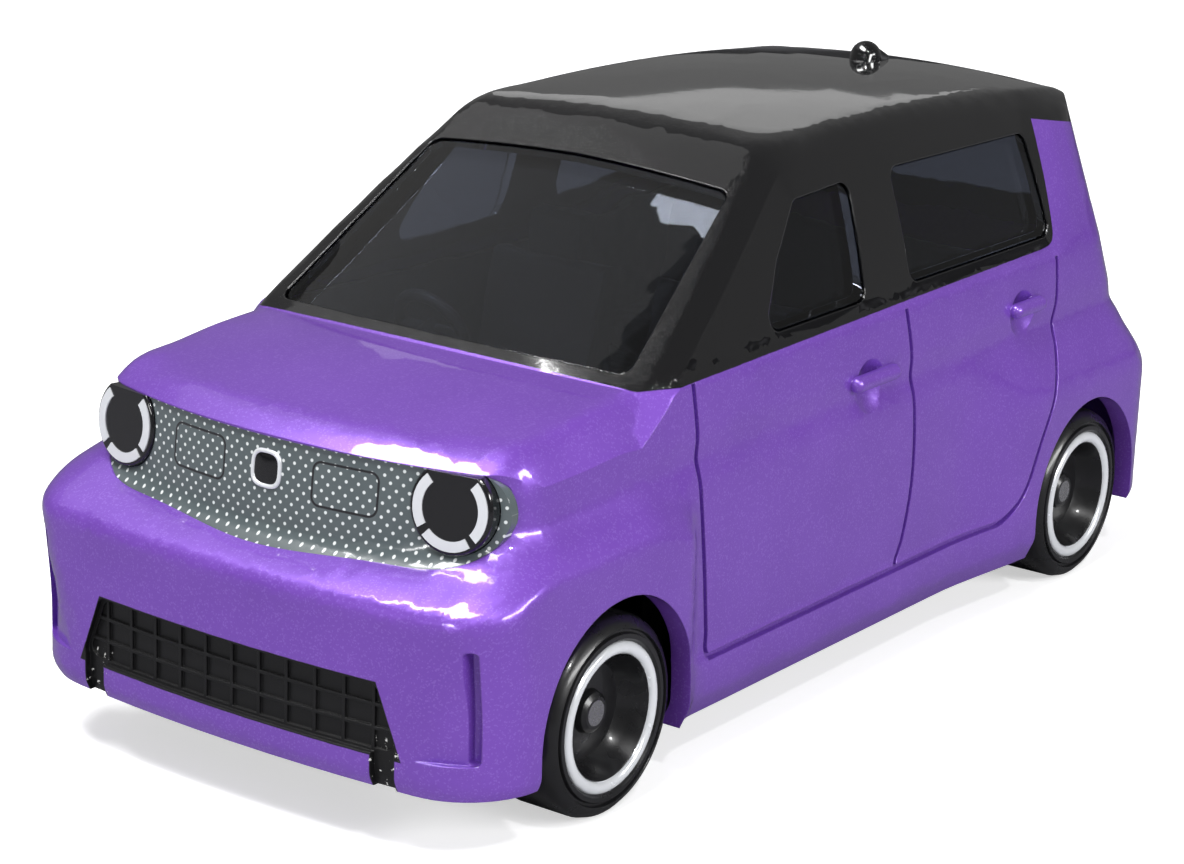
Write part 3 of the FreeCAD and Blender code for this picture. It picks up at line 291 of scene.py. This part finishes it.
def finish(name, material):
    """Show a CAD piece by a copy of its mesh, welded, split at its real edges and evenly shaded."""
    node = frame["nodes"][name]
    mesh = node.data.copy()
    bm = bmesh.new()
    bm.from_mesh(mesh)
    bm.transform(node.matrix_world)
    bmesh.ops.remove_doubles(bm, verts=bm.verts, dist=WELD_GAP)
    bmesh.ops.dissolve_degenerate(bm, edges=bm.edges, dist=SLIVER_LENGTH)
    bmesh.ops.triangulate(bm, faces=bm.faces)
    creases = [e for e in bm.edges if len(e.link_faces) == 2 and e.calc_face_angle() > CREASE_ANGLE]
    bmesh.ops.split_edges(bm, edges=creases)
    bm.to_mesh(mesh)
    bm.free()
    mesh.materials.clear()
    mesh.materials.append(material)
    mesh.polygons.foreach_set("use_smooth", np.ones(len(mesh.polygons), dtype=bool))
    mesh.normals_split_custom_set_from_vertices(even_normals(mesh).tolist())
    piece = bpy.data.objects.new(name + "_finish", mesh)
    bpy.context.scene.collection.objects.link(piece)
    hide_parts(name)
    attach(piece, BODY_OF[name])


finish("body_casting", body_paint)

# Window moulding: dark smoked clear plastic with faint flow marks, pushed up into the casting. It is
# the screen, the side and rear windows and the lining of the roof in one piece.
SMOKE = (0.34, 0.37, 0.44)
CLEAR_PLASTIC_IOR = 1.49
FLOW_MARKS_PER_MM = 0.35
FLOW_MARK_DEPTH = 0.03
WINDOW_EDGE_RADIUS = 0.1

smoked_clear, tree, shader = new_material("smoked_clear")
vector = coords(tree)[0]
shader.inputs["Base Color"].default_value = (*SMOKE, 1.0)
shader.inputs["Transmission Weight"].default_value = 1.0
shader.inputs["IOR"].default_value = CLEAR_PLASTIC_IOR
shader.inputs["Roughness"].default_value = 0.02
edges = rounded_edges(tree, WINDOW_EDGE_RADIUS)
flow = noise(tree, vector, FLOW_MARKS_PER_MM)
flow_normal = bump(tree, flow, strength=0.5, depth_mm=FLOW_MARK_DEPTH, normal=edges)
tree.links.new(flow_normal, shader.inputs["Normal"])

finish("window_unit", smoked_clear)


# Interior: seats, dashboard, steering wheel and tub, moulded together in black plastic that has a
# finely etched grain. It is held between the window moulding and the base.
def remap(tree, value, low, high, out_low, out_high):
    """The value, from the range low to high, moved to the range out_low to out_high."""
    node = tree.nodes.new("ShaderNodeMapRange")
    for key, number in zip(("From Min", "From Max", "To Min", "To Max"), (low, high, out_low, out_high)):
        node.inputs[key].default_value = number
    tree.links.new(value, node.inputs["Value"])
    return node.outputs[0]


def plain(name, color, roughness, grain, metallic=0.0, grain_scale=6.0, coat=0.0, bevel=0.0):
    """A moulded or turned surface: one colour, slightly uneven in roughness, with a fine grain.

    The grain's depth and the bevel's radius are in millimetres. The roughness wanders from 80% to
    125% of its value, in patches five times as wide as the grain.
    """
    material, tree, shader = new_material(name)
    vector = coords(tree)[0]
    shader.inputs["Base Color"].default_value = (*color, 1.0)
    shader.inputs["Metallic"].default_value = metallic
    shader.inputs["Coat Weight"].default_value = coat
    shader.inputs["Coat Roughness"].default_value = 0.08
    patches = noise(tree, vector, grain_scale * 0.2, detail=3.0)
    uneven = remap(tree, patches, low=0.3, high=0.7, out_low=roughness * 0.8, out_high=roughness * 1.25)
    tree.links.new(uneven, shader.inputs["Roughness"])
    edges = rounded_edges(tree, bevel) if bevel else None
    fine = noise(tree, vector, grain_scale, detail=4.0)
    grained = bump(tree, fine, strength=1.0, depth_mm=grain, normal=edges)
    tree.links.new(grained, shader.inputs["Normal"])
    return material


seat_plastic = plain(
    "seat_plastic", color=(0.035, 0.035, 0.040), roughness=0.5, grain=0.01, grain_scale=7.0, bevel=0.1)
finish("interior", seat_plastic)

# Panel between the lamps: a grey-green lacquered strip, printed with staggered rows of pale dots and
# with a thin rounded outline on each side. It is pressed into the recess in the casting's nose.
# ROWS_ADDED is an even count, added before folding so that no row or column folded is below zero.
DOT_PITCH = 0.62
DOT_RADIUS = 0.075
ROW_PITCH = DOT_PITCH / 2
ROWS_ADDED = 200.0
OUTLINE_X = 4.27
OUTLINE_Z = 15.3
OUTLINE_HALF_WIDTH = 1.68
OUTLINE_HALF_HEIGHT = 0.98
OUTLINE_CORNER_RADIUS = 0.42
HALF_LINE = 0.055
PRINT_SOFTNESS = 0.02
DARK_LACQUER = (0.060, 0.078, 0.084)
LIGHT_LACQUER = (0.085, 0.104, 0.108)
DOT_PRINT = (0.60, 0.63, 0.63)
LINE_PRINT = (0.008, 0.008, 0.010)
LACQUER_CLOUDS_PER_MM = 0.5
LACQUER_WAVES_PER_MM = 1.2
LACQUER_WAVE_DEPTH = 0.02
PANEL_EDGE_RADIUS = 0.1


def length(tree, a, b):
    """The root of a squared plus b squared."""
    squares = math_node(tree, "ADD", math_node(tree, "MULTIPLY", a, a), math_node(tree, "MULTIPLY", b, b))
    return math_node(tree, "SQRT", squares)


def past(tree, a, limit):
    """How far the size of a is past the limit, or 0."""
    return math_node(tree, "MAXIMUM", math_node(tree, "SUBTRACT", math_node(tree, "ABSOLUTE", a), limit), 0.0)


def rounded_box_distance(tree, a, b, half_a, half_b, radius):
    """Distance outside a rounded rectangle centred where a and b are zero, and less than 0 inside it."""
    from_core = length(tree, past(tree, a, half_a - radius), past(tree, b, half_b - radius))
    return math_node(tree, "SUBTRACT", from_core, radius)


dotted_panel, tree, shader = new_material("dotted_panel")
vector, x, y, z = coords(tree)
row = math_node(tree, "FLOOR", math_node(tree, "DIVIDE", z, ROW_PITCH))
odd = math_node(tree, "MODULO", math_node(tree, "ADD", row, ROWS_ADDED), 2.0)
along = math_node(tree, "ADD", x, math_node(tree, "MULTIPLY", odd, ROW_PITCH))
along = math_node(tree, "ADD", along, ROWS_ADDED * ROW_PITCH)
across_dot = math_node(tree, "PINGPONG", along, ROW_PITCH)
row_bottom = math_node(tree, "MULTIPLY", row, ROW_PITCH)
up_dot = math_node(tree, "SUBTRACT", row_bottom, math_node(tree, "SUBTRACT", z, ROW_PITCH / 2))
in_dot = math_node(tree, "SUBTRACT", DOT_RADIUS, length(tree, across_dot, up_dot))
from_x = math_node(tree, "SUBTRACT", math_node(tree, "ABSOLUTE", x), OUTLINE_X)
from_z = math_node(tree, "SUBTRACT", z, OUTLINE_Z)
outline = rounded_box_distance(
    tree, from_x, from_z, OUTLINE_HALF_WIDTH, OUTLINE_HALF_HEIGHT, OUTLINE_CORNER_RADIUS)
in_line = math_node(tree, "SUBTRACT", HALF_LINE, math_node(tree, "ABSOLUTE", outline))
clouds = noise(tree, vector, LACQUER_CLOUDS_PER_MM, detail=3.0)
color = mix_color(tree, clouds, DARK_LACQUER, LIGHT_LACQUER)
color = mix_color(tree, step_mask(tree, in_dot, PRINT_SOFTNESS), color, DOT_PRINT)
color = mix_color(tree, step_mask(tree, in_line, PRINT_SOFTNESS), color, LINE_PRINT)
tree.links.new(color, shader.inputs["Base Color"])
shader.inputs["Roughness"].default_value = 0.25
shader.inputs["Coat Weight"].default_value = 1.0
shader.inputs["Coat Roughness"].default_value = 0.04
edges = rounded_edges(tree, PANEL_EDGE_RADIUS)
waves = noise(tree, vector, LACQUER_WAVES_PER_MM)
wave_normal = bump(tree, waves, strength=0.5, depth_mm=LACQUER_WAVE_DEPTH, normal=edges)
tree.links.new(wave_normal, shader.inputs["Coat Normal"])

finish("front_panel", dotted_panel)

# Lamps: each headlamp is a gloss black disc on one end of the panel, with three arcs of silver foil
# on it. The tail lamps are slim blocks of red lacquer, set in pockets of the casting.
gloss_black = plain(
    "gloss_black", color=(0.004, 0.004, 0.005), roughness=0.12, grain=0.0006, grain_scale=2.0,
    coat=0.8, bevel=0.06)
silver_foil = plain(
    "silver_foil", color=(0.74, 0.76, 0.79), roughness=0.22, grain=0.0006, metallic=0.35, coat=0.6)
lamp_red = plain(
    "lamp_red", color=(0.42, 0.012, 0.016), roughness=0.15, grain=0.002, grain_scale=2.0,
    coat=1.0, bevel=0.08)
for side in ("left", "right"):
    finish("headlamp_" + side, gloss_black)
    finish("headlamp_arcs_" + side, silver_foil)
    finish("tail_lamp_" + side, lamp_red)

# Badge place: a blank rounded plate in a bright rim in the middle of the panel, with no sign on it.
# The rim is a tube swept round a superellipse. The plate is a low dome inside the same outline.
BADGE_Z = 15.43
RIM_Y = -30.13
PLATE_Y = -30.14
PANEL_BOW = 0.015
PANEL_LEAN = 0.1
RIM_HALF = 0.78
RIM_TUBE_RADIUS = 0.1
PLATE_HALF = 0.74
PLATE_DOME = 0.05
SQUARENESS = 3.2
OUTLINE_POINTS = 96
TUBE_POINTS = 14
PLATE_RINGS = 9
INNERMOST_RING = 0.02


def superellipse(turn, half):
    """Points of a rounded square: the cosine and sine of turn, each raised to 2 / SQUARENESS, by half."""
    power = 2 / SQUARENESS
    return (half * np.sign(np.cos(turn)) * np.abs(np.cos(turn)) ** power,
            half * np.sign(np.sin(turn)) * np.abs(np.sin(turn)) ** power)


def add_grid(name, grid, material, closed):
    """A quad mesh over a grid of points. The first direction wraps, and the second one if closed."""
    rows, columns = grid.shape[:2]
    index = np.arange(rows * columns).reshape(rows, columns)
    after = np.roll(index, -1, axis=0)
    right, far = (np.roll(index, -1, axis=1), np.roll(after, -1, axis=1))
    keep = slice(None) if closed else slice(0, columns - 1)
    faces = np.stack([index[:, keep], right[:, keep], far[:, keep], after[:, keep]], axis=-1).reshape(-1, 4)
    mesh = bpy.data.meshes.new(name)
    mesh.from_pydata((grid.reshape(-1, 3) * MM).tolist(), [], faces.tolist())
    mesh.polygons.foreach_set("use_smooth", np.ones(len(mesh.polygons), dtype=bool))
    mesh.materials.append(material)
    piece = bpy.data.objects.new(name, mesh)
    bpy.context.scene.collection.objects.link(piece)
    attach(piece, "car")


turn = np.linspace(0, 2 * np.pi, OUTLINE_POINTS, endpoint=False)[:, None]
around = np.linspace(0, 2 * np.pi, TUBE_POINTS, endpoint=False)[None, :]
rim_x, rim_z = superellipse(turn, RIM_HALF + RIM_TUBE_RADIUS * np.cos(around))
rim_y = RIM_Y + PANEL_BOW * rim_x ** 2 + PANEL_LEAN * rim_z - RIM_TUBE_RADIUS * np.sin(around)
add_grid("badge_rim", np.stack([rim_x, rim_y, rim_z + BADGE_Z], axis=-1), silver_foil, closed=True)
outward = np.linspace(INNERMOST_RING, 1.0, PLATE_RINGS)[None, :]
plate_x, plate_z = superellipse(turn, PLATE_HALF * outward)
plate_y = PLATE_Y + PANEL_BOW * plate_x ** 2 + PANEL_LEAN * plate_z - PLATE_DOME * (1 - outward ** 2)
add_grid("badge_plate", np.stack([plate_x, plate_y, plate_z + BADGE_Z], axis=-1), gloss_black, closed=False)

# Wheel sets: two black plastic wheels, each with a ring of silver foil on its rim, are pressed on the
# ends of a drawn steel pin. The pin turns in channels of the base.
wheel_plastic = plain(
    "wheel_plastic", color=(0.007, 0.007, 0.008), roughness=0.30, grain=0.0015, grain_scale=5.0,
    coat=0.25, bevel=0.06)
steel = plain(
    "steel_pin", color=(0.52, 0.52, 0.53), roughness=0.25, grain=0.002, metallic=1.0, grain_scale=20.0)
for end in ("front", "rear"):
    finish("axle_" + end, steel)
    for side in ("left", "right"):
        finish(f"wheel_{end}_{side}", wheel_plastic)
        finish(f"wheel_ring_{end}_{side}", silver_foil)

# Base: black plastic with a fine grain, which closes the toy from below. Two posts of the casting come
# through it, and their ends are spread into bare zinc rivet heads.
base_plastic = plain(
    "base_plastic", color=(0.018, 0.018, 0.020), roughness=0.42, grain=0.006, grain_scale=9.0, bevel=0.12)
zinc = plain(
    "bare_zinc", color=(0.42, 0.42, 0.43), roughness=0.45, grain=0.01, metallic=1.0, grain_scale=8.0)
finish("base_plate", base_plastic)
for end in ("front", "rear"):
    finish("rivet_" + end, zinc)

# Floor: one plain pale sheet. It is lifted to white for the camera alone, and is darker in glossy
# reflections, so that the lower paint keeps its depth. The world is dim for all but the camera.
FLOOR_HALF = 3.0
FLOOR_COLOR = (0.82, 0.82, 0.83)
REFLECTED_FLOOR_COLOR = (0.16, 0.16, 0.17)
FLOOR_LIFT = 0.55
WORLD_LIGHT = 0.16

floor_corners = [(-FLOOR_HALF, -FLOOR_HALF, 0), (FLOOR_HALF, -FLOOR_HALF, 0),
                 (FLOOR_HALF, FLOOR_HALF, 0), (-FLOOR_HALF, FLOOR_HALF, 0)]
floor_mesh = bpy.data.meshes.new("floor")
floor_mesh.from_pydata(floor_corners, [], [(0, 1, 2, 3)])
floor = bpy.data.objects.new("floor", floor_mesh)
bpy.context.scene.collection.objects.link(floor)
floor_material, tree, shader = new_material("floor")
shader.inputs["Base Color"].default_value = (*FLOOR_COLOR, 1.0)
shader.inputs["Roughness"].default_value = 0.7
path = tree.nodes.new("ShaderNodeLightPath")
reflected = tree.nodes.new("ShaderNodeBsdfDiffuse")
reflected.inputs["Color"].default_value = (*REFLECTED_FLOOR_COLOR, 1.0)
by_reflection = tree.nodes.new("ShaderNodeMixShader")
tree.links.new(path.outputs["Is Glossy Ray"], by_reflection.inputs[0])
tree.links.new(shader.outputs[0], by_reflection.inputs[1])
tree.links.new(reflected.outputs[0], by_reflection.inputs[2])
white = tree.nodes.new("ShaderNodeEmission")
white.inputs["Strength"].default_value = FLOOR_LIFT
lifted = tree.nodes.new("ShaderNodeAddShader")
tree.links.new(by_reflection.outputs[0], lifted.inputs[0])
tree.links.new(white.outputs[0], lifted.inputs[1])
by_camera = tree.nodes.new("ShaderNodeMixShader")
tree.links.new(path.outputs["Is Camera Ray"], by_camera.inputs[0])
tree.links.new(by_reflection.outputs[0], by_camera.inputs[1])
tree.links.new(lifted.outputs[0], by_camera.inputs[2])
tree.links.new(by_camera.outputs[0], tree.nodes["Material Output"].inputs["Surface"])
floor_mesh.materials.append(floor_material)

world = bpy.data.worlds.new("studio")
bpy.context.scene.world = world
world.use_nodes = True
tree = world.node_tree
background = tree.nodes["Background"]
path = tree.nodes.new("ShaderNodeLightPath")
strength = remap(tree, path.outputs["Is Camera Ray"], 0.0, 1.0, WORLD_LIGHT, 1.0)
tree.links.new(strength, background.inputs["Strength"])
background.inputs["Color"].default_value = (1.0, 1.0, 1.0, 1.0)

# Studio lights: a key overhead, strips along the car's left side and ahead of its nose, a small lamp
# for the sharp glints, and two faint cards for the roof and the screen to reflect. Each row has the
# name, the place, what it is turned to and the two sides, all in metres, and the power in watts.
LIGHTS = (
    ("key", (-0.06, -0.12, 0.36), (0, 0, 0.01), (0.30, 0.10), 1.9),
    ("side", (0.34, 0.02, 0.17), (0, 0, 0.012), (0.26, 0.06), 0.9),
    ("front", (-0.02, -0.36, 0.14), (0, 0, 0.012), (0.16, 0.03), 0.28),
    ("spark", (0.20, -0.14, 0.30), (0, -0.005, 0.02), (0.02, 0.02), 0.30),
    ("sky", (-0.24, 0.02, 0.34), (0, -0.01, 0.02), (0.22, 0.22), 0.045),
    ("back_card", (-0.30, 0.46, 0.20), (0, 0, 0.028), (0.20, 0.12), 0.03))
for name, place, aim, sides, power in LIGHTS:
    light = bpy.data.lights.new(name, "AREA")
    light.shape = "RECTANGLE"
    light.size, light.size_y = sides
    light.energy = power
    lamp = bpy.data.objects.new(name, light)
    lamp.location = place
    from_aim = mathutils.Vector(place) - mathutils.Vector(aim)
    lamp.rotation_euler = from_aim.to_track_quat("Z", "Y").to_euler()
    bpy.context.scene.collection.objects.link(lamp)

# Camera: where the photo was taken from, found from the wheels and the car's outline. The angles are
# its tilt up from straight down, its roll and its turn from looking along +Y.
CAMERA_PLACE = (0.089692, -0.130843, 0.057611)
CAMERA_TILT = 73.3940
CAMERA_ROLL = -2.0062
CAMERA_TURN = 36.1960
LENS_LENGTH = 96.85
SENSOR_WIDTH = 36.0

camera_data = bpy.data.cameras.new("camera")
camera_data.lens = LENS_LENGTH
camera_data.sensor_width = SENSOR_WIDTH
camera_data.clip_start = 0.005
camera_data.clip_end = 20.0
camera = bpy.data.objects.new("camera", camera_data)
angles = mathutils.Euler([math.radians(a) for a in (CAMERA_TILT, CAMERA_ROLL, CAMERA_TURN)])
camera.matrix_world = mathutils.Matrix.LocRotScale(mathutils.Vector(CAMERA_PLACE), angles, None)
bpy.context.scene.collection.objects.link(camera)
bpy.context.scene.camera = camera
bpy.context.scene.view_settings.view_transform = "Standard"
